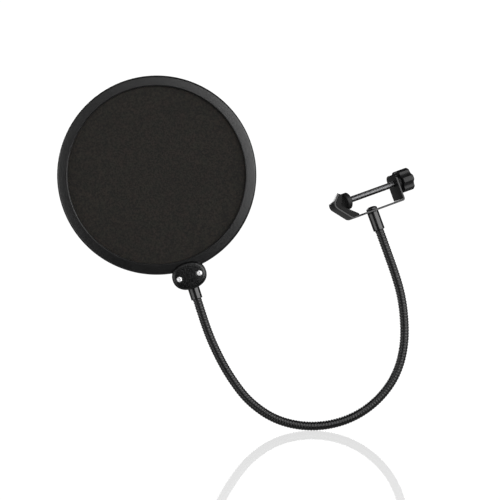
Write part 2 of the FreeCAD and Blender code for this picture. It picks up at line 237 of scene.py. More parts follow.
def lathe(profile, around=96, closed=True):
    """Turns a (radius, height) outline about Z. A radius of 0 makes a pole."""
    verts, faces, rows = [], [], []
    for r, h in profile:
        if r < 1e-6:
            rows.append([len(verts)])
            verts.append((0.0, 0.0, h))
            continue
        rows.append(list(range(len(verts), len(verts) + around)))
        for k in range(around):
            t = 2 * math.pi * k / around
            verts.append((r * math.cos(t), r * math.sin(t), h))
    pairs = list(zip(rows, rows[1:] + rows[:1])) if closed else list(zip(rows, rows[1:]))
    for a, b in pairs:
        join_rows(a, b, faces)
    return verts, faces


def join_rows(a, b, faces):
    """Faces between two rings of vertices, either of which may be a single pole."""
    if len(a) == 1 and len(b) == 1:
        return
    n = max(len(a), len(b))
    for k in range(n):
        m = (k + 1) % n
        if len(a) == 1:
            faces.append((a[0], b[m], b[k]))
        elif len(b) == 1:
            faces.append((a[k], a[m], b[0]))
        else:
            faces.append((a[k], a[m], b[m], b[k]))


def outward(obj):
    """Makes every face look outwards."""
    bm = bmesh.new()
    bm.from_mesh(obj.data)
    bmesh.ops.recalc_face_normals(bm, faces=bm.faces)
    bm.to_mesh(obj.data)
    bm.free()
    finish_mesh(obj)
    return obj


def turned(name, profile, matrix, around=96, closed=True):
    verts, faces = lathe(profile, around, closed)
    return outward(new_piece(name, verts, faces, matrix))


def rings_piece(name, rings, matrix):
    """A closed form through rings of equal length, with a face at each end."""
    verts, faces, rows = [], [], []
    for ring in rings:
        rows.append(list(range(len(verts), len(verts) + len(ring))))
        verts += list(ring)
    for a, b in zip(rows, rows[1:]):
        join_rows(a, b, faces)
    faces.append(tuple(rows[0]))
    faces.append(tuple(rows[-1]))
    return outward(new_piece(name, verts, faces, matrix))


def joined(name, pieces):
    """Several pieces as one mesh object."""
    bm = bmesh.new()
    for piece in pieces:
        bm.from_mesh(piece.data)
    mesh = bpy.data.meshes.new(name)
    bm.to_mesh(mesh)
    bm.free()
    for piece in pieces:
        bpy.data.objects.remove(piece)
    obj = bpy.data.objects.new(name, mesh)
    bpy.context.scene.collection.objects.link(obj)
    finish_mesh(obj)
    return obj


def carve(obj, cutters):
    """Cuts the cutters out of obj and removes them."""
    for cutter in cutters:
        modifier = obj.modifiers.new("cut", "BOOLEAN")
        modifier.operation = "DIFFERENCE"
        modifier.solver = "EXACT"
        modifier.object = cutter
    bpy.context.view_layer.update()
    graph = bpy.context.evaluated_depsgraph_get()
    mesh = bpy.data.meshes.new_from_object(obj.evaluated_get(graph))
    obj.modifiers.clear()
    obj.data = mesh
    for cutter in cutters:
        bpy.data.objects.remove(cutter)
    finish_mesh(obj)
    return obj


def offset_line(points, d):
    """An open (x, z) line moved to its left by d, with mitred corners."""
    p = [np.array(q, float) for q in points]
    out = []
    for i in range(len(p)):
        normals = []
        if i > 0:
            e = (p[i] - p[i - 1]) / np.linalg.norm(p[i] - p[i - 1])
            normals.append(np.array([-e[1], e[0]]))
        if i < len(p) - 1:
            e = (p[i + 1] - p[i]) / np.linalg.norm(p[i + 1] - p[i])
            normals.append(np.array([-e[1], e[0]]))
        m = sum(normals) / len(normals)
        out.append(tuple(p[i] + m * d / (m @ m)))
    return out


def shrink(outline, d):
    """A closed outline moved inwards by d at every point."""
    p = np.array(outline, float)
    before, after = np.roll(p, 1, axis=0), np.roll(p, -1, axis=0)
    e1 = p - before
    e2 = after - p
    e1 /= np.linalg.norm(e1, axis=1)[:, None]
    e2 /= np.linalg.norm(e2, axis=1)[:, None]
    area = 0.5 * np.sum(p[:, 0] * after[:, 1] - p[:, 1] * after[:, 0])
    sign = 1.0 if area > 0 else -1.0
    n1 = np.stack([-e1[:, 1], e1[:, 0]], axis=1) * sign
    n2 = np.stack([-e2[:, 1], e2[:, 0]], axis=1) * sign
    m = (n1 + n2) / 2
    m /= np.maximum(np.sum(m * m, axis=1), 0.25)[:, None]
    return p + m * d


# ---------------------------------------------------------------- materials
class Nodes:
    """Short calls for building a node tree."""

    def __init__(self, name):
        self.material = bpy.data.materials.new(name)
        self.material.use_nodes = True
        self.tree = self.material.node_tree
        self.tree.nodes.clear()
        self.out = self.tree.nodes.new("ShaderNodeOutputMaterial")
        self.shader = self.tree.nodes.new("ShaderNodeBsdfPrincipled")
        self.link(self.shader.outputs["BSDF"], self.out.inputs["Surface"])

    def link(self, a, b):
        self.tree.links.new(a, b)

    def add(self, kind, **values):
        node = self.tree.nodes.new(kind)
        for key, value in values.items():
            if key in node.inputs:
                node.inputs[key].default_value = value
            else:
                setattr(node, key, value)
        return node

    def coordinates(self, kind="Object", rotation=(0, 0, 0)):
        source = self.add("ShaderNodeTexCoord")
        mapping = self.add("ShaderNodeMapping")
        mapping.inputs["Rotation"].default_value = rotation
        self.link(source.outputs[kind], mapping.inputs["Vector"])
        return mapping.outputs["Vector"]

    def noise(self, vector, scale, detail=4.0, rough=0.55):
        node = self.add("ShaderNodeTexNoise", Scale=scale, Detail=detail, Roughness=rough)
        self.link(vector, node.inputs["Vector"])
        return node.outputs["Fac"]

    def voronoi(self, vector, scale):
        node = self.add("ShaderNodeTexVoronoi", Scale=scale)
        self.link(vector, node.inputs["Vector"])
        return node.outputs["Distance"]

    def wave(self, vector, scale, direction, distortion=0.0):
        node = self.add("ShaderNodeTexWave", Scale=scale, Distortion=distortion)
        node.wave_type = "BANDS"
        node.bands_direction = direction
        self.link(vector, node.inputs["Vector"])
        return node.outputs["Fac"]

    def ranged(self, value, low, high, to_low, to_high):
        node = self.add("ShaderNodeMapRange")
        node.inputs["From Min"].default_value = low
        node.inputs["From Max"].default_value = high
        node.inputs["To Min"].default_value = to_low
        node.inputs["To Max"].default_value = to_high
        self.link(value, node.inputs["Value"])
        return node.outputs["Result"]

    def maths(self, operation, a, b):
        node = self.add("ShaderNodeMath", operation=operation)
        for socket, value in zip(node.inputs, (a, b)):
            if isinstance(value, (int, float)):
                socket.default_value = value
            else:
                self.link(value, socket)
        return node.outputs["Value"]

    def mixed(self, factor, a, b):
        node = self.add("ShaderNodeMix", data_type="RGBA")
        self.link(factor, node.inputs[0])
        for socket, value in ((node.inputs[6], a), (node.inputs[7], b)):
            if isinstance(value, tuple):
                socket.default_value = (*value, 1.0)
            else:
                self.link(value, socket)
        return node.outputs[2]

    def bump(self, height, distance, strength=1.0, after=None):
        node = self.add("ShaderNodeBump", Strength=strength, Distance=distance)
        self.link(height, node.inputs["Height"])
        if after is not None:
            self.link(after, node.inputs["Normal"])
        return node.outputs["Normal"]

    def attribute(self, name):
        node = self.add("ShaderNodeAttribute", attribute_name=name)
        return node.outputs["Fac"]

    def set(self, **values):
        for key, value in values.items():
            socket = self.shader.inputs[key.replace("_", " ")]
            if isinstance(value, (int, float)):
                socket.default_value = value
            elif isinstance(value, tuple):
                socket.default_value = (*value, 1.0) if len(value) == 3 else value
            else:
                self.link(value, socket)


def moulded(name, dark, light, rough, grain, depth, smudge=60.0, specular=0.5):
    """Moulded or coated black: a fine grain in the surface, slow changes in tone and gloss.

    dark and light bound the colour, rough bounds the roughness, grain is the noise's scale and
    depth the bump's height in metres.
    """
    n = Nodes(name)
    at = n.coordinates()
    slow = n.noise(at, smudge, 5.0, 0.6)
    fine = n.noise(at, grain, 3.0, 0.6)
    cell = n.voronoi(at, grain * 0.62)
    tone = n.maths("MULTIPLY", n.ranged(slow, 0.3, 0.7, 0.6, 1.0), n.ranged(fine, 0.25, 0.75, 0.45, 1.0))
    slow_gloss = n.ranged(slow, 0.3, 0.7, rough[0], rough[1])
    n.set(
        Base_Color=n.mixed(tone, dark, light),
        Roughness=n.maths("ADD", slow_gloss, n.ranged(fine, 0.3, 0.7, -0.03, 0.03)),
        Specular_IOR_Level=specular,
        Normal=n.bump(n.maths("ADD", fine, n.maths("MULTIPLY", cell, 0.6)), depth),
    )
    return n.material


rim_plastic = moulded(
    "rim_plastic", (0.002, 0.002, 0.0021), (0.005, 0.005, 0.0052),
    (0.31, 0.37), 1500.0, 0.00010,
)
housing_plastic = moulded(
    "housing_plastic", (0.0012, 0.0012, 0.0013), (0.0032, 0.0032, 0.0034),
    (0.22, 0.28), 1300.0, 0.00018, specular=0.4,
)
hoop_plastic = moulded(
    "hoop_plastic", (0.012, 0.012, 0.012), (0.02, 0.02, 0.02),
    (0.5, 0.6), 1500.0, 0.00002,
)
knob_plastic = moulded(
    "knob_plastic", (0.004, 0.004, 0.0042), (0.008, 0.008, 0.0083),
    (0.42, 0.5), 1800.0, 0.00003, specular=0.3,
)
pad_plastic = moulded(
    "pad_plastic", (0.004, 0.004, 0.0042), (0.008, 0.008, 0.0083),
    (0.45, 0.55), 1500.0, 0.00002, specular=0.3,
)
jaw_rubber = moulded(
    "jaw_rubber", (0.003, 0.003, 0.003), (0.008, 0.008, 0.008),
    (0.62, 0.75), 1400.0, 0.00005, specular=0.2,
)
black_coat = moulded(
    "black_coat", (0.005, 0.005, 0.0052), (0.012, 0.012, 0.0123),
    (0.22, 0.3), 900.0, 0.00003, specular=0.35,
)
ferrule_black = moulded(
    "ferrule_black", (0.004, 0.004, 0.0042), (0.008, 0.008, 0.0083),
    (0.15, 0.22), 700.0, 0.000008, specular=0.6,
)


def metal(name, dark, light, rough, grain, depth):
    """Bare or blackened metal: uneven tone, and a gloss that varies with the grain."""
    n = Nodes(name)
    at = n.coordinates()
    slow = n.noise(at, 90.0, 5.0, 0.6)
    fine = n.noise(at, grain, 4.0, 0.65)
    tone = n.maths("MULTIPLY", n.ranged(slow, 0.3, 0.7, 0.55, 1.0), n.ranged(fine, 0.25, 0.75, 0.6, 1.0))
    n.set(
        Base_Color=n.mixed(tone, dark, light),
        Metallic=1.0,
        Roughness=n.ranged(fine, 0.3, 0.7, rough[0], rough[1]),
        Normal=n.bump(fine, depth),
    )
    return n.material


screw_steel = metal(
    "screw_steel", (0.12, 0.12, 0.123), (0.23, 0.23, 0.235),
    (0.3, 0.38), 1500.0, 0.000004,
)
screw_bright = metal(
    "screw_bright", (0.85, 0.85, 0.86), (0.97, 0.97, 0.97),
    (0.52, 0.6), 2500.0, 0.000004,
)
swivel_steel = metal(
    "swivel_steel", (0.02, 0.02, 0.021), (0.06, 0.06, 0.062),
    (0.25, 0.38), 1800.0, 0.00001,
)


def neck_material():
    """Black lacquered winding, worn a little brighter on the crests, with painted shade in the grooves, which
    always keep the darker colour.
    """
    n = Nodes("neck_black")
    at = n.coordinates("UV")
    crest = n.attribute("crest")
    slow = n.noise(at, 45.0, 5.0, 0.6)
    fine = n.noise(at, 1400.0, 3.0, 0.6)
    # crests turn lighter where the slow noise marks them worn; the grooves never do and stay dark as painted
    # shade
    crest_wear_and_groove_shade = n.maths("MULTIPLY", n.ranged(crest, 0.75, 1.0, 0.0, 1.0), n.ranged(slow, 0.45, 0.7, 0.0, 1.0))
    n.set(
        Base_Color=n.mixed(crest_wear_and_groove_shade, (0.005, 0.005, 0.0053), (0.016, 0.016, 0.0165)),
        Roughness=n.maths("SUBTRACT", n.ranged(fine, 0.3, 0.7, 0.26, 0.34), n.maths("MULTIPLY", crest, 0.08)),
        Normal=n.bump(fine, 0.00001),
    )
    return n.material


neck_black = neck_material()


def screen_material():
    """Fine plain-woven nylon: two thread directions, uneven dye and a faint warm mottle."""
    n = Nodes("screen_nylon")
    at = n.coordinates(rotation=(0, math.radians(18), 0))
    thread = 0.00062
    scale = 0.314159 / thread
    warp = n.wave(at, scale, "X", 0.15)
    weft = n.wave(at, scale, "Z", 0.15)
    over = n.wave(at, scale / 2, "DIAGONAL", 0.0)
    weave = n.maths("MAXIMUM", n.maths("MULTIPLY", warp, n.ranged(over, 0, 1, 0.6, 1.0)),
                    n.maths("MULTIPLY", weft, n.ranged(over, 0, 1, 1.0, 0.6)))
    mottle = n.noise(at, 760.0, 3.0, 0.6)
    slow = n.noise(at, 38.0, 4.0, 0.55)
    tint = n.noise(at, 150.0, 3.0, 0.5)
    warm = n.mixed(n.ranged(tint, 0.35, 0.65, 0.0, 1.0), (0.0245, 0.0232, 0.0174), (0.0292, 0.0226, 0.0180))
    tone = n.maths("MULTIPLY", n.ranged(mottle, 0.38, 0.62, 0.16, 1.0), n.ranged(weave, 0.2, 1.0, 0.45, 1.0))
    tone = n.maths("MULTIPLY", tone, n.ranged(slow, 0.3, 0.7, 0.85, 1.0))
    n.set(
        Base_Color=n.mixed(tone, (0.0030, 0.0028, 0.0026), warm),
        Roughness=n.ranged(mottle, 0.3, 0.7, 0.78, 0.92),
        Specular_IOR_Level=0.25,
        Sheen_Weight=0.08,
        Sheen_Roughness=0.5,
        Normal=n.bump(n.maths("ADD", weave, n.maths("MULTIPLY", mottle, 1.5)), 0.00012),
    )
    return n.material


screen_nylon = screen_material()


def dress(piece, material, body, slot, *replaced):
    """Gives a piece its material and its body, and hides the CAD nodes that it stands for. The slot argument
    is not used.
    """
    piece.data.materials.clear()
    piece.data.materials.append(material)
    if body is not None:
        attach(piece, body)
    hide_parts(*replaced)
    return piece


# ---------------------------------------------------------------- clamp bracket: a bent strip
web_start = VERTEX[0] + (VERTEX[1] - WEB_Z) / math.tan(LOWER_ARM)
arm_tip = (VERTEX[0] + UPPER_ARM_L * math.cos(UPPER_ARM), VERTEX[1] + UPPER_ARM_L * math.sin(UPPER_ARM))
strip_line = [arm_tip, VERTEX, (web_start, WEB_Z), (LEG_X, WEB_Z), (LEG_X, LEG_TOP)]


def half_width(x):
    """Half the strip's width: narrow at the jaw, wider along the web and the leg."""
    share = min(1.0, max(0.0, (x - JAW_END_X) / (WIDE_FROM_X - JAW_END_X)))
    share = 0.5 * share + 0.5 * share * share * (3 - 2 * share)
    return (JAW_W + (BRACKET_W - JAW_W) * share) / 2


def bent_strip(name, line, bends, thickness, edge, first_corner, last_corner):
    """A strip with rounded edges swept along a bent line; its end corners are rounded."""
    path = fillet(line, bends, 16, closed=False)
    points = [np.array(path[0])]
    for q in path[1:]:
        q = np.array(q)
        run = np.linalg.norm(q - points[-1])
        cuts = max(1, int(run / 1.5))
        start = points[-1]
        points += [start + (q - start) * (k + 1) / cuts for k in range(cuts)]
    gaps = [0.0] + [float(np.linalg.norm(b - a)) for a, b in zip(points, points[1:])]
    along = np.cumsum(gaps)
    total = along[-1]
    extra = []
    for radius in (edge, first_corner):
        extra += [radius * (1 - math.cos(math.pi / 2 * k / 7)) for k in range(8)]
    for radius in (edge, last_corner):
        extra += [total - radius * (1 - math.cos(math.pi / 2 * k / 7)) for k in range(8)]
    stations = sorted(set(round(s, 4) for s in list(along) + extra))
    pts = np.array(points)
    rings = []
    for s in stations:
        x = np.interp(s, along, pts[:, 0])
        z = np.interp(s, along, pts[:, 1])
        ahead, behind = min(total, s + 0.02), max(0.0, s - 0.02)
        dx = np.interp(ahead, along, pts[:, 0]) - np.interp(behind, along, pts[:, 0])
        dz = np.interp(ahead, along, pts[:, 1]) - np.interp(behind, along, pts[:, 1])
        size = math.hypot(dx, dz)
        nx, nz = -dz / size, dx / size
        wide = half_width(x)
        half_w, half_t = wide, thickness / 2
        for d, corner in ((s, first_corner), (total - s, last_corner)):
            if d < corner:
                half_w = min(half_w, wide - corner + math.sqrt(max(0.0, corner**2 - (corner - d) ** 2)))
            if d < edge:
                half_t = thickness / 2 - edge + math.sqrt(max(0.0, edge**2 - (edge - d) ** 2))
        r = min(edge, half_t)
        ring = []
        for sign_y, sign_t, start in ((1, 1, 0), (-1, 1, 90), (-1, -1, 180), (1, -1, 270)):
            for k in range(5):
                a = math.radians(start + 90 * k / 4)
                y = sign_y * (half_w - r) + r * math.cos(a)
                t = sign_t * (half_t - r) + r * math.sin(a)
                ring.append((x + nx * t, y, z + nz * t))
        rings.append(ring)
    return rings_piece(name, rings, CLAMP)


JAW_BEND = JAW_BEND_R_IN + STRIP / 2
LEG_BEND = LEG_BEND_R_IN + STRIP / 2
bends = [0, JAW_BEND, JAW_BEND, LEG_BEND, 0]
strip = bent_strip("strip", strip_line, bends, STRIP, 0.3, TIP_CORNER_R, LEG_CORNER_R)
face = LEG_X + STRIP / 2
collar_outline = fillet(
    [
        (2.42, face - 0.6), (4.6, face - 0.6), (4.6, face - 0.02), (3.7, face + 0.02),
        (3.7, face + 1.3), (2.42, face + 1.3),
    ],
    [0, 0, 0, 0.45, 0.35, 0.2],
)
collar = turned("collar", collar_outline, CLAMP @ ON_X, 72)
bracket = joined("bracket_strip", [strip, collar])
dress(bracket, black_coat, "bracket", "black_coat", "clamp_bracket")


# ---------------------------------------------------------------- rubber lining in the jaw
def prism(name, outline, width, edge, matrix):
    """An (x, z) outline as thick as width along Y, with rounded rims."""
    rings = []
    steps = 4
    for k in range(steps + 1):
        a = math.pi / 2 * k / steps
        inner = shrink(outline, edge * (1 - math.sin(a)))
        y = -width / 2 + edge * (1 - math.cos(a))
        rings.append([(x, y, z) for x, z in inner])
    for k in range(steps, -1, -1):
        a = math.pi / 2 * k / steps
        inner = shrink(outline, edge * (1 - math.sin(a)))
        y = width / 2 - edge * (1 - math.cos(a))
        rings.append([(x, y, z) for x, z in inner])
    return rings_piece(name, rings, matrix)


lining_line = [arm_tip, VERTEX, (web_start, WEB_Z), (LINING_END_X, WEB_Z)]
against = offset_line(lining_line, STRIP / 2 + 0.02)
tip_in = offset_line(lining_line, STRIP / 2 + LINING_T)[0]
inside = [tip_in, KNEE, (LINING_END_X, WEB_Z + STRIP / 2 + LINING_END_T)]
lining_corners = [0.5, JAW_BEND_R_IN, JAW_BEND_R_IN, 0.45, 0.55, 0.6, 1.0]
outline = fillet(against + inside[::-1], lining_corners, 8)
lining = prism("lining_rubber", outline, LINING_W, 0.45, CLAMP)
dress(lining, jaw_rubber, "bracket", "jaw_rubber", "jaw_lining")


# ---------------------------------------------------------------- threads and ribs: helical tubes
def helical(section, pitch, start, end, around, per_pitch, fade_in=0.0, fade_out=0.0, base=0.0):
    """Rings of a straight helical surface along Z. section(frac) is the radius over one pitch."""
    rows = int(round((end - start) / pitch * per_pitch))
    rings = []
    for i in range(rows + 1):
        h = start + (end - start) * i / rows
        keep = 1.0
        if fade_in > 0:
            keep = min(keep, (h - start) / fade_in)
        if fade_out > 0:
            keep = min(keep, (end - h) / fade_out)
        ring = []
        for k in range(around):
            t = 2 * math.pi * k / around
            r = section((h / pitch - k / around) % 1.0)
            r = base + (r - base) * max(0.0, min(1.0, keep))
            ring.append((r * math.cos(t), r * math.sin(t), h))
        rings.append(ring)
    return rings


def thread_section(f):
    """A rolled thread's flanks, with a flat crest and a narrower flat root."""
    up = min(1.0, max(0.0, (abs(f - 0.5) * 2 - 0.42) / 0.36))
    return SCREW_R - (SCREW_R - SCREW_ROOT_R) * up


def plain_rings(profile, around):
    """Round rings about Z through a (radius, height) profile."""
    turns = [2 * math.pi * k / around for k in range(around)]
    return [[(r * math.cos(t), r * math.sin(t), h) for t in turns] for r, h in profile]


AROUND = 40
tip_part = plain_rings(
    [(1.7, 6.8), (2.0, 7.1), (2.0, 8.0), (1.5, 8.2), (1.5, 9.4), (2.0, 9.8), (SCREW_ROOT_R, 10.1)], AROUND
)
threaded = helical(thread_section, SCREW_PITCH, 10.4, 53.6, AROUND, 9, 0.8, 0.8, SCREW_ROOT_R)
end_part = plain_rings([(SCREW_R, 54.1), (SCREW_R, 64.0)], AROUND)
screw = rings_piece("clamp_rod", tip_part + threaded + end_part, CLAMP @ ON_X)
dress(screw, screw_steel, "screw", "screw_steel", "clamp_screw")

pad_outline = fillet(
    [
        (0, PAD_FRONT), (PAD_R, PAD_FRONT), (PAD_R, PAD_BACK), (3.85, PAD_BACK), (3.7, HUB_END),
        (2.1, HUB_END), (2.1, 9.2), (0, 9.2),
    ],
    [0, 0.5, 0.6, 0.35, 0.35, 0.15, 0, 0],
)
pad = turned("pad_disc", pad_outline, CLAMP @ ON_X, 96, closed=False)
dress(pad, pad_plastic, "pad", "pad_plastic", "pressure_pad")


# ---------------------------------------------------------------- star knob
def lobed(angle, inset):
    """The knob's radius at an angle from its Z axis: a circle with six grooves."""
    groove, distance = 4.0, KNOB_R + 2.6
    step = math.pi / 3
    off = (angle + step / 2) % step - step / 2
    reach = groove + inset
    inside = reach**2 - (distance * math.sin(off)) ** 2
    r = KNOB_R - inset
    if inside > 0:
        cut = distance * math.cos(off) - math.sqrt(inside)
        blend_over = 0.75
        h = min(1.0, max(0.0, 0.5 + 0.5 * (cut - r) / blend_over))
        r = cut * (1 - h) + r * h - blend_over * h * (1 - h)
    return r


def knob_piece():
    """The star knob: a plain hub, six lobes with rounded rims, and a shallow dish in its face."""
    around = 240
    rings = []

    def ring(x, inset=None, r=None):
        points = []
        for k in range(around):
            t = 2 * math.pi * k / around
            radius = lobed(t, inset) if r is None else r
            points.append((x, radius * math.sin(t), radius * math.cos(t)))
        rings.append(points)

    ring(KNOB_HUB_IN, r=2.3)
    hub = [(2.3, KNOB_HUB_IN), (KNOB_HUB_R, KNOB_HUB_IN), (KNOB_HUB_R, KNOB_IN), (7.2, KNOB_IN)]
    for r, x in fillet(hub, [0, 0.4, 0.5, 0], 5, False)[1:]:
        ring(x, r=r)
    for k in range(6):
        a = math.pi / 2 * k / 5
        ring(KNOB_IN + 0.5 * (1 - math.cos(a)), inset=0.5 * (1 - math.sin(a)))
    for k in range(1, 4):
        ring(KNOB_IN + 0.5 + (KNOB_OUT - KNOB_IN - 1.5) * k / 4, inset=0.0)
    for k in range(8):
        a = math.pi / 2 * k / 7
        ring(KNOB_OUT - 1.0 + 1.0 * math.sin(a), inset=1.0 * (1 - math.cos(a)))
    dish = [(6.6, KNOB_OUT), (5.6, KNOB_OUT), (5.0, KNOB_OUT - 0.9), (0.4, KNOB_OUT - 0.75)]
    for r, x in fillet(dish, [0, 0.35, 0.35, 0], 5, False):
        ring(x, r=r)
    return rings_piece("star_knob", rings, CLAMP)


knob = knob_piece()
dress(knob, knob_plastic, "screw", "knob_plastic", "knob")


# ---------------------------------------------------------------- crosshead recess, swivel screw, ferrules
def cross_cutter(width, span, depth, top, matrix, turn=0.0):
    """Two tapering blades that cross, to cut a crosshead recess."""
    pieces = []
    for a in (0.0, 90.0):
        rings = []
        for share, h in ((1.08, 0.4), (1.0, 0.0), (0.42, -depth)):
            w, s = width / 2 * (0.55 + 0.45 * share), span / 2 * share
            rings.append([(-s, -w, h + top), (s, -w, h + top), (s, w, h + top), (-s, w, h + top)])
        spin = Matrix.Rotation(math.radians(a + turn), 4, "Z")
        pieces.append(rings_piece("blade", rings, matrix @ spin))
    return pieces


SWIVEL_AT = CLAMP @ Matrix.Translation((SWIVEL_X * MM, 0, 0))
web_top = WEB_Z + STRIP / 2
web_low = WEB_Z - STRIP / 2
quarter = [math.pi / 2 * k / 12 for k in range(13)]
dome = [(SWIVEL_HEAD_R * math.sin(a), web_top + 1.1 + 1.73 * math.cos(a)) for a in quarter]
skirt = [(SWIVEL_HEAD_R, web_top + 0.5), (SWIVEL_HEAD_R, web_top + 0.03), (2.5, web_top + 0.03)]
head_profile = dome + fillet(skirt, [0, 0.25, 0], 4, False)
head_profile += [(2.5, web_low - 6.0), (0, web_low - 6.0)]
swivel = turned("swivel_dome", head_profile, SWIVEL_AT, 72, closed=False)
carve(swivel, cross_cutter(0.95, 4.4, 1.6, web_top + 2.83, SWIVEL_AT, 20.0))
dress(swivel, swivel_steel, "neck_01", "ferrule_black", "swivel_screw")

ferrule_top = web_low - 0.03
ferrule_end = ferrule_top - CLAMP_FERRULE_L
tube_outline = fillet(
    [
        (2.5, ferrule_top), (CLAMP_FERRULE_R, ferrule_top), (CLAMP_FERRULE_R, ferrule_end),
        (FERRULE_BORE_R, ferrule_end), (FERRULE_BORE_R, ferrule_end + 8.0), (2.5, ferrule_end + 8.0),
    ],
    [0, 0.35, 0.55, 0.12, 0, 0],
    6,
)
clamp_tube = turned("clamp_tube", tube_outline, SWIVEL_AT, 72)
dress(clamp_tube, ferrule_black, "neck_01", "ferrule_black", "clamp_ferrule")

collar_at = -HEAD_FERRULE_TOP - 3.25
tube_outline = fillet(
    [
        (FERRULE_BORE_R, -HEAD_FERRULE_END), (HEAD_FERRULE_R, -HEAD_FERRULE_END),
        (HEAD_FERRULE_R, collar_at), (5.65, collar_at), (5.65, collar_at + 2.0),
        (HEAD_FERRULE_R, collar_at + 2.0), (HEAD_FERRULE_R, -HEAD_FERRULE_TOP),
        (1.2, -HEAD_FERRULE_TOP), (1.2, -89.3), (FERRULE_BORE_R, -89.3),
    ],
    [0.12, 0.6, 0.2, 0.3, 0.3, 0.2, 0.3, 0, 0, 0],
    6,
)
head_tube = turned("head_tube", tube_outline, HEAD, 72)
dress(head_tube, ferrule_black, "head", "ferrule_black", "head_ferrule")

# ---------------------------------------------------------------- gooseneck
plane_y = joints["clamp_end_bend_1"]["pos_m"][1]


def flat_point(v):
    """A point's place in the neck's own plane, in mm."""
    return np.array([v[0] / MM, v[2] / MM])


neck_joints = [j for j in frame["joints"] if j["parent"].startswith("neck_")]
pivots = [flat_point(j["pos_m"]) for j in neck_joints]
ferrule_mouth = SWIVEL_AT @ Vector((0, 0, ferrule_end * MM))
neck_start = flat_point(ferrule_mouth)
start_run = flat_point(-clamp_z)
start_run = start_run / np.linalg.norm(start_run)
end_run = flat_point(head_z)
end_run = end_run / np.linalg.norm(end_run)
neck_end = flat_point(head_centre) - end_run * HEAD_FERRULE_END

chain = [neck_start] + pivots + [neck_end]
knots = [neck_start]
for i in range(1, len(chain) - 1):
    before, here, after = chain[i - 1], chain[i], chain[i + 1]
    a, b = here - before, after - here
    la, lb = np.linalg.norm(a), np.linalg.norm(b)
    a, b = a / la, b / lb
    turn = math.acos(float(np.clip(a @ b, -1, 1)))
    inward = (b - a) / max(1e-9, np.linalg.norm(b - a))
    sag = min(la, lb) * turn / 8
    if i > 1:
        knots.append((before + here) / 2 - inward * sag / 3)
    knots.append(here + inward * sag * 2 / 3)
knots.append(neck_end)
knots = np.array(knots)


def clamped_spline(points, first, last, step):
    """A smooth curve through points that leaves and arrives along the given directions."""
    gaps = np.linalg.norm(np.diff(points, axis=0), axis=1)
    t = np.concatenate([[0.0], np.cumsum(gaps)])
    n = len(points)
    matrix = np.zeros((n, n))
    right = np.zeros((n, 2))
    matrix[0, 0] = 1.0
    right[0] = first
    matrix[-1, -1] = 1.0
    right[-1] = last
    for i in range(1, n - 1):
        h0, h1 = gaps[i - 1], gaps[i]
        matrix[i, i - 1] = h1
        matrix[i, i] = 2 * (h0 + h1)
        matrix[i, i + 1] = h0
        d0 = (points[i] - points[i - 1]) / h0
        d1 = (points[i + 1] - points[i]) / h1
        right[i] = 3 * (h1 * d0 + h0 * d1)
    slopes = np.linalg.solve(matrix, right)
    out = []
    for i in range(n - 1):
        h = gaps[i]
        count = max(2, int(h / step))
        for k in range(count):
            u = k / count
            p = (1 + 2 * u) * (1 - u) ** 2 * points[i] + u * u * (3 - 2 * u) * points[i + 1]
            p = p + h * (u * (1 - u) ** 2 * slopes[i] - u * u * (1 - u) * slopes[i + 1])
            out.append(p)
    out.append(points[-1])
    return np.array(out)


curve = clamped_spline(knots, start_run, end_run, 0.25)
curve = np.concatenate(
    [
        [neck_start - start_run * d for d in (7.6, 5.0, 2.5)],
        curve,
        [neck_end + end_run * d for d in (3.0, 6.0, 9.0, 11.6)],
    ]
)
curve_s = np.concatenate([[0.0], np.cumsum(np.linalg.norm(np.diff(curve, axis=0), axis=1))])


def curve_at(s):
    return np.array([np.interp(s, curve_s, curve[:, 0]), np.interp(s, curve_s, curve[:, 1])])


def curve_run(s):
    d = curve_at(min(curve_s[-1], s + 0.6)) - curve_at(max(0.0, s - 0.6))
    return d / np.linalg.norm(d)


def nearest_s(point):
    i = int(np.argmin(np.linalg.norm(curve - point, axis=1)))
    return float(curve_s[i])


def rib_height(f):
    """Height of the winding over one pitch, 0 to 1: a round wire, then a thin filler wire."""
    wide = 1 - abs((f - 0.33) / 0.33) ** 2.4
    thin = 1 - abs((f - 0.83) / 0.15) ** 2.2
    return max(math.sqrt(max(0.0, wide)), 0.42 * math.sqrt(max(0.0, thin)))


def neck_sleeve(name, s0, s1):
    around, per_pitch = 44, 15
    rows = max(4, int(round((s1 - s0) / RIB_PITCH * per_pitch)))
    verts, crest, along, round_ = [], [], [], []
    lines = []
    stations = [s0 + (s1 - s0) * i / rows for i in range(rows + 1)]
    inner = stations[:: per_pitch // 2]
    if inner[-1] != stations[-1]:
        inner.append(stations[-1])
    for s, outside in [(s, True) for s in stations] + [(s, False) for s in inner[::-1]]:
        centre, run = curve_at(s), curve_run(s)
        side = np.array([-run[1], run[0]])
        line = []
        for k in range(around):
            t = 2 * math.pi * k / around
            height = rib_height((s / RIB_PITCH - k / around) % 1.0)
            r = NECK_LOW_R + (NECK_R - NECK_LOW_R) * height if outside else NECK_BORE_R
            p = centre + side * (r * math.cos(t))
            line.append(len(verts))
            verts.append((p[0], plane_y / MM + r * math.sin(t), p[1]))
            crest.append(height if outside else 0.0)
            along.append(s * MM)
            round_.append(k / around * 2 * math.pi * NECK_R * MM)
        lines.append(line)
    faces = []
    for a, b in zip(lines, lines[1:] + lines[:1]):
        join_rows(a, b, faces)
    piece = new_piece(name, verts, faces, Matrix.Identity(4), 60.0)
    outward(piece)
    mesh = piece.data
    mesh.attributes.new("crest", "FLOAT", "POINT").data.foreach_set("value", np.array(crest, np.float32))
    layer = mesh.uv_layers.new(name="UVMap")
    index = np.zeros(len(mesh.loops), int)
    mesh.loops.foreach_get("vertex_index", index)
    u = np.array(along)[index]
    v = np.array(round_)[index]
    uv = np.stack([u, v], axis=1).astype(np.float32)
    layer.data.foreach_set("uv", uv.ravel())
    return piece


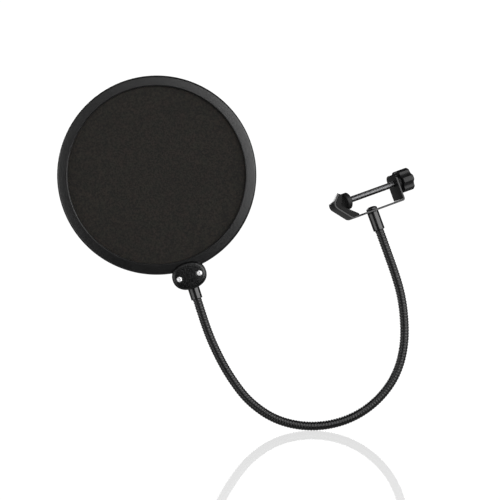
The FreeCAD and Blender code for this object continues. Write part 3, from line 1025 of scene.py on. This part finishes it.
middles = [nearest_s((a + b) / 2) for a, b in zip(chain[:-1], chain[1:])]
cuts = [0.0] + middles + [float(curve_s[-1])]
count = len(chain) - 1
for i in range(count + 1):
    piece = neck_sleeve("neck_sleeve_%02d" % i, cuts[i], cuts[i + 1])
    held = sorted(set(k for k in (i, i + 1) if 1 <= k <= count))
    replaced = ["neck_winding_%02d" % k for k in held] + ["neck_spring_%02d" % k for k in held]
    if i == 0:
        dress(piece, neck_black, "neck_01", "neck_black", *replaced)
    elif i == count:
        dress(piece, neck_black, "head", "neck_black", *replaced)
    else:
        dress(piece, neck_black, None, "neck_black", *replaced)
        a, b = curve_at(cuts[i]), curve_at(cuts[i + 1])
        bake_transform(piece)

# ---------------------------------------------------------------- head: rims, hoops, screens
rim_outline = fillet(
    [
        (RIM_IN_R, -RIM_HALF + 0.75), (RIM_IN_R + 0.62, -RIM_HALF),
        (RIM_R - 1.0, -RIM_HALF + 1.25), (RIM_R, -RIM_HALF + 2.6),
        (RIM_R, -0.02), (RIM_R - RIM_WALL, -0.02),
        (RIM_R - RIM_WALL, -RIM_HALF + RIM_FACE), (RIM_IN_R, -RIM_HALF + RIM_FACE),
    ],
    [0.4, 0.5, 1.6, 1.8, 0.2, 0.1, 0.1, 0.25],
    7,
)
hoop_outline = fillet(
    [
        (70.6, -RIM_HALF + RIM_FACE + MESH_T), (RIM_R - RIM_WALL - 0.05, -RIM_HALF + RIM_FACE + MESH_T),
        (RIM_R - RIM_WALL - 0.05, -0.02), (72.2, -0.02), (70.6, -RIM_HALF + RIM_FACE + MESH_T + 1.6),
    ],
    0.25,
    4,
)


def screen_mesh(name, side):
    """A stretched disc with a little slack inside the rim: faint tension ripples near its edge."""
    around, seed = 192, 5 if side < 0 else 9
    rng = np.random.default_rng(seed)
    # each ripple: waves round the edge, phase, strength
    waves = [(int(rng.integers(5, 29)), rng.uniform(0, 2 * math.pi), rng.uniform(0.3, 1.0)) for i in range(9)]
    radii = [0.0] + list(np.linspace(3.0, 63.0, 21)) + list(np.linspace(64.5, RIM_IN_R - 0.3, 6))
    radii += [RIM_IN_R + 0.4, 72.0, MESH_R - 0.1]

    def height(r, t):
        if r >= RIM_IN_R:
            return 0.0
        fall = (r / RIM_IN_R) ** 3 * (1 - (r / RIM_IN_R) ** 6)
        ripple = sum(w * math.sin(k * t + p) for k, p, w in waves) / 9
        slack = 0.55 * (1 - (r / RIM_IN_R) ** 2)
        return slack + 0.28 * fall * ripple

    profile = [(r, 1) for r in radii] + [(MESH_R, 0.5)] + [(r, 0) for r in reversed(radii)]
    verts, rows, faces = [], [], []
    face_y = -RIM_HALF + RIM_FACE
    for r, layer in profile:
        line = []
        for k in range(around if r > 0 else 1):
            t = 2 * math.pi * k / around
            y = face_y + MESH_T * (1 - layer) - height(r, t)
            line.append(len(verts))
            verts.append((r * math.cos(t), -side * y, r * math.sin(t)))
        rows.append(line)
    for p, q in zip(rows, rows[1:]):
        join_rows(p, q, faces)
    return outward(new_piece(name, verts, faces, HEAD))


for side, word in ((-1, "front"), (1, "rear")):
    flip = HEAD @ Matrix.Diagonal((1, -side, 1, 1)) @ ON_Y
    rim = turned(word + "_rim_ring", rim_outline, flip, 288)
    dress(rim, rim_plastic, "head", "rim_plastic", word + "_rim")
    hoop = turned(word + "_hoop_ring", hoop_outline, flip, 192)
    dress(hoop, hoop_plastic, "head", "hoop_plastic", word + "_hoop")
    screen = screen_mesh(word + "_screen_weave", side)
    dress(screen, screen_nylon, "head", "screen_nylon", word + "_screen")


# ---------------------------------------------------------------- housing
def oval_ring(inset, y, scale=1.0):
    """The housing's outline, a little squarer than an ellipse, moved inwards by inset."""
    points = []
    for k in range(96):
        t = 2 * math.pi * k / 96
        c, s = math.cos(t), math.sin(t)
        x = (HOUSING_TAN / 2 - inset) * math.copysign(abs(c) ** (2 / HOUSING_SQUARE), c)
        z = (HOUSING_RAD / 2 - inset) * math.copysign(abs(s) ** (2 / HOUSING_SQUARE), s)
        points.append((x * scale, y, z * scale - HOUSING_D))
    return points


def housing_piece(name, side):
    """One shell of the housing: straight walls, a rounded rim and a slightly crowned face."""
    rings = []
    side_profile = [(0.3, -0.02), (0.08, -0.1), (0.0, -0.3), (0.0, -2.5), (0.0, -5.0), (0.0, -7.0)]
    for inset, y in side_profile:
        rings.append(oval_ring(inset, y))
    corner, steps = 2.9, 9
    for k in range(1, steps + 1):
        a = math.pi / 2 * k / steps * 0.93
        rings.append(oval_ring(corner * (1 - math.cos(a)), -7.0 - corner * math.sin(a)))
    last = corner * (1 - math.cos(math.pi / 2 * 0.93))
    top = -7.0 - corner * math.sin(math.pi / 2 * 0.93)
    for k in range(1, 10):
        share = 1 - k / 10
        rings.append(oval_ring(last, top - 0.32 * (1 - share**2), share))
    rings = [[(x, -side * y, z) for x, y, z in ring] for ring in rings]
    return rings_piece(name, rings, HEAD)


def axis_at(x, z, side):
    """A frame on the head whose Z axis points out of the housing's front or rear."""
    turn = Matrix(((1, 0, 0, 0), (0, 0, side, 0), (0, 1, 0, 0), (0, 0, 0, 1)))
    return HEAD @ Matrix.Translation((x * MM, 0, z * MM)) @ turn


front_house = housing_piece("front_housing_shell", -1)
rear_house = housing_piece("rear_housing_shell", 1)
SEAT = HOUSING_HALF - 2.0
cutters = []
for side in (-1, 1):
    at = axis_at(side * SCREW_TAN, -SCREW_D, -1)
    bore = [(0, SEAT), (2.75, SEAT), (2.75, 9.75), (3.15, 10.2), (3.3, 11.0), (0, 11.0)]
    cutters.append(turned("bore", bore, at, 56, closed=False))
carve(front_house, cutters)
dress(front_house, housing_plastic, "head", "housing_plastic", "housing_front")
dress(rear_house, housing_plastic, "head", "housing_plastic", "housing_rear")

heads = []
for side in (-1, 1):
    at = axis_at(side * SCREW_TAN, -SCREW_D, -1)
    quarter = [math.pi / 2 * k / 10 for k in range(11)]
    dome = [(SCREW_HEAD_R * math.sin(a), SEAT + 1.0 + 0.6 * math.cos(a)) for a in quarter]
    shank = [(1.3, SEAT + 0.02), (1.3, SEAT - 6.0), (0, SEAT - 7.0)]
    outline = dome + [(SCREW_HEAD_R, SEAT + 0.15), (SCREW_HEAD_R - 0.1, SEAT + 0.02)] + shank
    screw_head = turned("head_screw", outline, at, 56, closed=False)
    carve(screw_head, cross_cutter(0.7, 3.1, 1.1, SEAT + 1.6, at, 25.0 + 20.0 * side))
    heads.append(screw_head)
screws = joined("housing_screw_pair", heads)
dress(screws, screw_bright, "head", "screw_bright", "housing_screws")

# ---------------------------------------------------------------- camera
VIEW_WIDTH = 0.38935
VIEW_AT = Vector((-0.06899, 0.01216, -0.03574))
DISTANCE = 2.4
camera_data = bpy.data.cameras.new("camera")
camera_data.sensor_width = 36.0
camera_data.lens = 36.0 * DISTANCE / VIEW_WIDTH
camera_data.clip_end = 60.0
camera = bpy.data.objects.new("camera", camera_data)
camera.location = VIEW_AT + Vector((0, -DISTANCE, 0))
camera.rotation_euler = (math.radians(90), 0, 0)
bpy.context.scene.collection.objects.link(camera)
bpy.context.scene.camera = camera

# ---------------------------------------------------------------- studio
scene = bpy.context.scene
scene.view_settings.view_transform = "Standard"
scene.view_settings.look = "None"

floor_z = cad_box[0][2] - 0.0002
floor_mesh = bpy.data.meshes.new("floor")
reach = 3.9
floor_mesh.from_pydata(
    [(-reach, -reach, floor_z), (reach, -reach, floor_z), (reach, reach, floor_z), (-reach, reach, floor_z)],
    [],
    [(0, 1, 2, 3)],
)
floor = bpy.data.objects.new("floor", floor_mesh)
scene.collection.objects.link(floor)
# A faint mirror near the object, strongest at a grazing angle. The rest of it lets the white
# surroundings through, so that nothing is hidden when the head swings below its level.
MIRROR_SHARE = 0.42
MIRROR_FULL_TO = 1.1
MIRROR_GONE_AT = 1.6
n = Nodes("floor")
white = n.add("ShaderNodeBsdfTransparent")
gloss = n.add("ShaderNodeBsdfGlossy", Color=(1.0, 1.0, 1.0, 1.0), Roughness=0.02)
facing = n.add("ShaderNodeLayerWeight", Blend=0.5)
grazing = n.maths("MULTIPLY", n.maths("POWER", facing.outputs["Facing"], 6.0), MIRROR_SHARE)
away = n.add("ShaderNodeVectorMath", operation="LENGTH")
n.link(n.coordinates(), away.inputs[0])
nearness = n.ranged(away.outputs["Value"], MIRROR_FULL_TO, MIRROR_GONE_AT, 1.0, 0.0)
share = n.maths("MULTIPLY", grazing, nearness)
mix = n.add("ShaderNodeMixShader")
n.link(share, mix.inputs[0])
n.link(white.outputs[0], mix.inputs[1])
n.link(gloss.outputs[0], mix.inputs[2])
n.tree.nodes.remove(n.shader)
n.link(mix.outputs[0], n.out.inputs["Surface"])
floor.data.materials.append(n.material)
floor.visible_diffuse = False
floor.visible_glossy = False


def backdrop(name, place, width, height):
    """A bright wall far behind the object, which only the floor's reflection shows."""
    mesh = bpy.data.meshes.new(name)
    across = Vector((place[1], -place[0], 0)).normalized() * width / 2
    low, high = Vector(place), Vector(place) + Vector((0, 0, height))
    mesh.from_pydata([low - across, low + across, high + across, high - across], [], [(0, 1, 2, 3)])
    wall = bpy.data.objects.new(name, mesh)
    scene.collection.objects.link(wall)
    n = Nodes(name)
    glow = n.add("ShaderNodeEmission", Strength=1.06)
    n.tree.nodes.remove(n.shader)
    n.link(glow.outputs[0], n.out.inputs["Surface"])
    mesh.materials.append(n.material)
    wall.visible_camera = False
    wall.visible_diffuse = False


backdrop("wall_behind", (-0.07, 4.0, floor_z), 2.2, 0.75)
backdrop("wall_left", (-4.0, 0.0, floor_z), 2.2, 0.75)
backdrop("wall_right", (4.0, 0.0, floor_z), 2.2, 0.75)

world = bpy.data.worlds.new("studio")
world.use_nodes = True
scene.world = world
tree = world.node_tree
tree.nodes.clear()
seen = tree.nodes.new("ShaderNodeBackground")
seen.inputs["Color"].default_value = (1.0, 1.0, 1.0, 1.0)
seen.inputs["Strength"].default_value = 1.05
unseen = tree.nodes.new("ShaderNodeBackground")
unseen.inputs["Color"].default_value = (1.0, 1.0, 1.0, 1.0)
# what the object mirrors: a dark room, with a paler table behind it and a paler floor right below
way = tree.nodes.new("ShaderNodeTexCoord")
parts = tree.nodes.new("ShaderNodeSeparateXYZ")
tree.links.new(way.outputs["Generated"], parts.inputs[0])


def ramp(socket, low, high, to_low, to_high):
    node = tree.nodes.new("ShaderNodeMapRange")
    for key, value in zip(("From Min", "From Max", "To Min", "To Max"), (low, high, to_low, to_high)):
        node.inputs[key].default_value = value
    tree.links.new(socket, node.inputs["Value"])
    return node.outputs["Result"]


table = tree.nodes.new("ShaderNodeMath")
table.operation = "MULTIPLY"
tree.links.new(ramp(parts.outputs["Z"], -0.03, -0.25, 0.0, 1.0), table.inputs[0])
tree.links.new(ramp(parts.outputs["Y"], 0.1, 0.6, 0.0, 0.2), table.inputs[1])
room = tree.nodes.new("ShaderNodeMath")
room.operation = "ADD"
room.inputs[1].default_value = 0.05
tree.links.new(table.outputs[0], room.inputs[0])
below = tree.nodes.new("ShaderNodeMath")
below.operation = "ADD"
tree.links.new(room.outputs[0], below.inputs[0])
tree.links.new(ramp(parts.outputs["Z"], -0.55, -0.95, 0.0, 0.25), below.inputs[1])
tree.links.new(below.outputs[0], unseen.inputs["Strength"])
path = tree.nodes.new("ShaderNodeLightPath")
mix = tree.nodes.new("ShaderNodeMixShader")
out = tree.nodes.new("ShaderNodeOutputWorld")
tree.links.new(path.outputs["Is Camera Ray"], mix.inputs[0])
tree.links.new(unseen.outputs[0], mix.inputs[1])
tree.links.new(seen.outputs[0], mix.inputs[2])
tree.links.new(mix.outputs[0], out.inputs[0])


def softbox(name, azimuth, elevation, distance, width, height, radiance):
    """A soft rectangle of light that faces the object. Azimuth 0 is the camera's side, 90 its right."""
    a, e = math.radians(azimuth), math.radians(elevation)
    way = Vector((math.sin(a) * math.cos(e), -math.cos(a) * math.cos(e), math.sin(e)))
    data = bpy.data.lights.new(name, "AREA")
    data.shape = "RECTANGLE"
    data.size = width
    data.size_y = height
    data.energy = radiance * math.pi * width * height
    light = bpy.data.objects.new(name, data)
    light.location = Vector(VIEW_AT) + way * distance
    light.rotation_euler = (-way).to_track_quat("-Z", "Y").to_euler()
    light.visible_camera = False
    scene.collection.objects.link(light)
    return light


softbox("right_box", 50.0, 16.0, 1.7, 2.3, 1.8, 3.6)
softbox("left_box", -60.0, -4.0, 1.7, 1.6, 1.5, 1.9)
softbox("top_box", -10.0, 33.0, 1.8, 1.4, 0.5, 1.6)
softbox("back_left_box", -150.0, 19.0, 1.8, 0.8, 0.8, 7.5)
